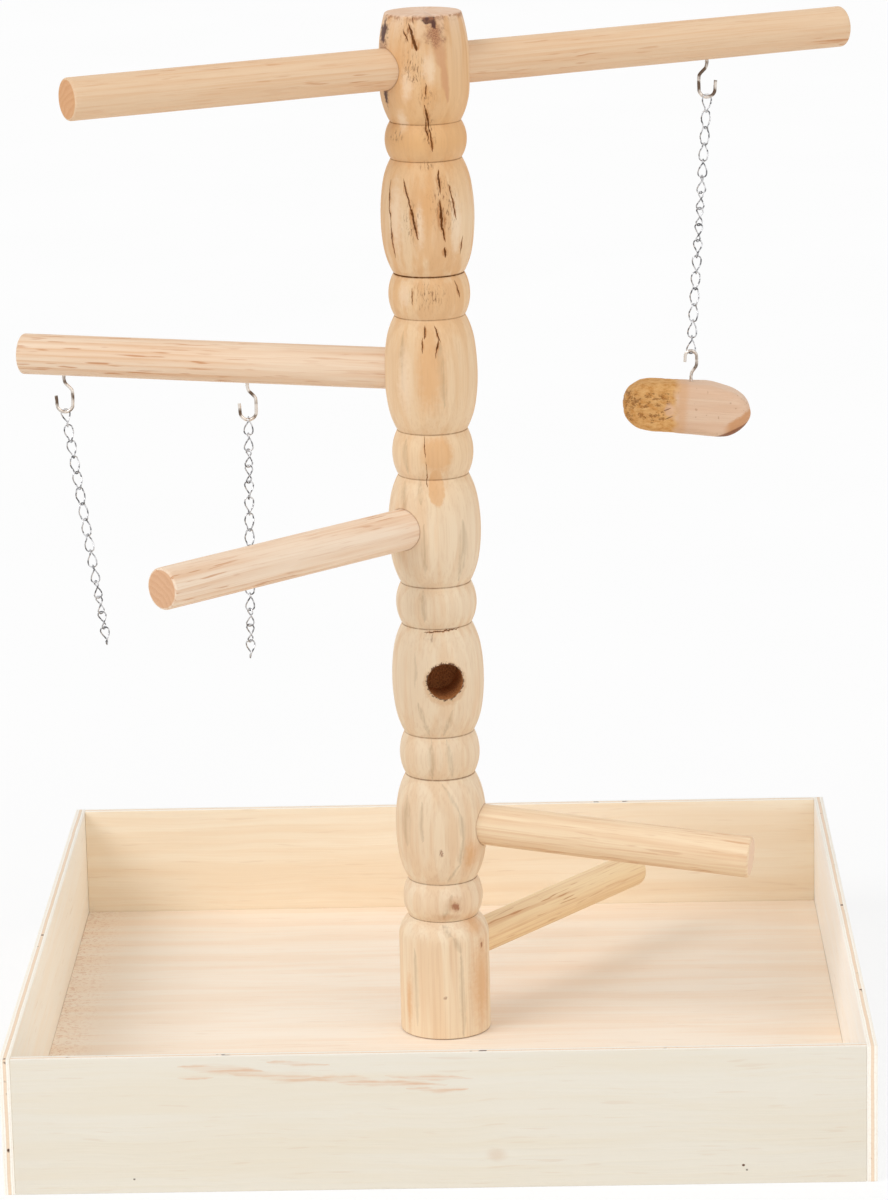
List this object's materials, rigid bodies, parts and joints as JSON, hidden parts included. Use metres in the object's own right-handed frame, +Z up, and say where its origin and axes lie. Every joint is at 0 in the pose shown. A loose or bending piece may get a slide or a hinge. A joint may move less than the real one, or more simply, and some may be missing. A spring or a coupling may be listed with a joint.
{
  "type": "parrot play stand",
  "caption": "Tabletop parrot play stand: a turned wooden post in a square plywood tray carries dowel perches, with twisted-link chains on screw hooks and a hanging wooden chew block.",
  "frame": {"origin": "on the table under the middle of the square tray, which is the post's axis", "axes": "+Z up along the post; -Y towards the front board of the tray; +X to the right seen from the front"},
  "size_m": [0.5262, 0.508, 0.6533],
  "materials": {
    "plywood": "sanded bare plywood",
    "post_wood": "turned and sanded bare softwood",
    "dowel_wood": "bare dowel",
    "branch_wood": "bare branch wood with bark on one half",
    "hook_wire": "bright nickel-plated wire",
    "chain_wire": "bright zinc-plated wire",
    "screw_steel": "zinc-plated steel",
    "brad_steel": "bare steel"
  },
  "bodies": {
    "stand": {"tray_brads": "brad_steel", "tray_side_left": "plywood", "tray_side_right": "plywood", "tray_front": "plywood", "tray_back": "plywood", "tray_floor": "plywood", "perch_top": "dowel_wood", "perch_upper_left": "dowel_wood", "perch_lower_left": "dowel_wood", "perch_right": "dowel_wood", "perch_low_back": "dowel_wood", "post": "post_wood", "post_screw": "screw_steel", "post_washer": "screw_steel", "hook_left": "hook_wire", "hook_middle": "hook_wire", "hook_right": "hook_wire"},
    "chain_left_1": {"chain_left_1": "chain_wire"},
    "chain_left_2": {"chain_left_2": "chain_wire"},
    "chain_left_3": {"chain_left_3": "chain_wire"},
    "chain_left_4": {"chain_left_4": "chain_wire"},
    "chain_left_5": {"chain_left_5": "chain_wire"},
    "chain_middle_1": {"chain_middle_1": "chain_wire"},
    "chain_middle_2": {"chain_middle_2": "chain_wire"},
    "chain_middle_3": {"chain_middle_3": "chain_wire"},
    "chain_middle_4": {"chain_middle_4": "chain_wire"},
    "chain_middle_5": {"chain_middle_5": "chain_wire"},
    "chain_right_1": {"chain_right_1": "chain_wire"},
    "chain_right_2": {"chain_right_2": "chain_wire"},
    "chain_right_3": {"chain_right_3": "chain_wire"},
    "chain_right_4": {"chain_right_4": "chain_wire"},
    "chain_right_5": {"chain_right_5": "chain_wire"},
    "chain_right_6": {"chain_right_6": "chain_wire"},
    "chew_toy": {"toy_block": "branch_wood", "toy_hook": "hook_wire"}
  },
  "joints": [
    {"name": "chain_left_1_swing", "type": "hinge", "parent": "stand", "child": "chain_left_1", "pos_m": [-0.2318, 0.06859, 0.39973], "axis": [0, 1, 0], "range_deg": [-25, 25]},
    {"name": "chain_left_2_swing", "type": "hinge", "parent": "chain_left_1", "child": "chain_left_2", "pos_m": [-0.22753, 0.06859, 0.36817], "axis": [0.9425, -0.309, 0.1274], "range_deg": [-25, 25]},
    {"name": "chain_left_3_swing", "type": "hinge", "parent": "chain_left_2", "child": "chain_left_3", "pos_m": [-0.2236, 0.06859, 0.33909], "axis": [-0.8017, -0.5878, -0.1084], "range_deg": [-25, 25]},
    {"name": "chain_left_4_swing", "type": "hinge", "parent": "chain_left_3", "child": "chain_left_4", "pos_m": [-0.21933, 0.06859, 0.30752], "axis": [-0.3062, 0.9511, -0.0414], "range_deg": [-25, 25]},
    {"name": "chain_left_5_swing", "type": "hinge", "parent": "chain_left_4", "child": "chain_left_5", "pos_m": [-0.2154, 0.06859, 0.27844], "axis": [0.9425, -0.309, 0.1274], "range_deg": [-25, 25]},
    {"name": "chain_middle_1_swing", "type": "hinge", "parent": "stand", "child": "chain_middle_1", "pos_m": [-0.11463, 0.03397, 0.39975], "axis": [0, 1, 0], "range_deg": [-25, 25]},
    {"name": "chain_middle_2_swing", "type": "hinge", "parent": "chain_middle_1", "child": "chain_middle_2", "pos_m": [-0.11536, 0.03397, 0.36791], "axis": [0.9133, 0.4067, -0.0207], "range_deg": [-25, 25]},
    {"name": "chain_middle_3_swing", "type": "hinge", "parent": "chain_middle_2", "child": "chain_middle_3", "pos_m": [-0.11602, 0.03397, 0.33857], "axis": [0.9508, -0.309, -0.0216], "range_deg": [-25, 25]},
    {"name": "chain_middle_4_swing", "type": "hinge", "parent": "chain_middle_3", "child": "chain_middle_4", "pos_m": [-0.11675, 0.03397, 0.30672], "axis": [0.1045, -0.9945, -0.0024], "range_deg": [-25, 25]},
    {"name": "chain_middle_5_swing", "type": "hinge", "parent": "chain_middle_4", "child": "chain_middle_5", "pos_m": [-0.11741, 0.03397, 0.27738], "axis": [-0.5876, -0.809, 0.0133], "range_deg": [-25, 25]},
    {"name": "chain_right_1_swing", "type": "hinge", "parent": "stand", "child": "chain_right_1", "pos_m": [0.17376, 0.09744, 0.58605], "axis": [0, 1, 0], "range_deg": [-25, 25]},
    {"name": "chain_right_2_swing", "type": "hinge", "parent": "chain_right_1", "child": "chain_right_2", "pos_m": [0.17148, 0.09744, 0.55428], "axis": [0.9756, 0.2079, -0.0699], "range_deg": [-25, 25]},
    {"name": "chain_right_3_swing", "type": "hinge", "parent": "chain_right_2", "child": "chain_right_3", "pos_m": [0.16938, 0.09744, 0.525], "axis": [0.5863, -0.809, -0.042], "range_deg": [-25, 25]},
    {"name": "chain_right_4_swing", "type": "hinge", "parent": "chain_right_3", "child": "chain_right_4", "pos_m": [0.1671, 0.09744, 0.49323], "axis": [-0.6674, -0.7431, 0.0478], "range_deg": [-25, 25]},
    {"name": "chain_right_5_swing", "type": "hinge", "parent": "chain_right_4", "child": "chain_right_5", "pos_m": [0.16501, 0.09744, 0.46396], "axis": [-0.9486, 0.309, 0.068], "range_deg": [-25, 25]},
    {"name": "chain_right_6_swing", "type": "hinge", "parent": "chain_right_5", "child": "chain_right_6", "pos_m": [0.16273, 0.09744, 0.43219], "axis": [0.1043, 0.9945, -0.0075], "range_deg": [-25, 25]},
    {"name": "toy_swing", "type": "hinge", "parent": "chain_right_6", "child": "chew_toy", "pos_m": [0.162, 0.09744, 0.42202], "axis": [0, 1, 0], "range_deg": [-30, 30]}
  ]
}
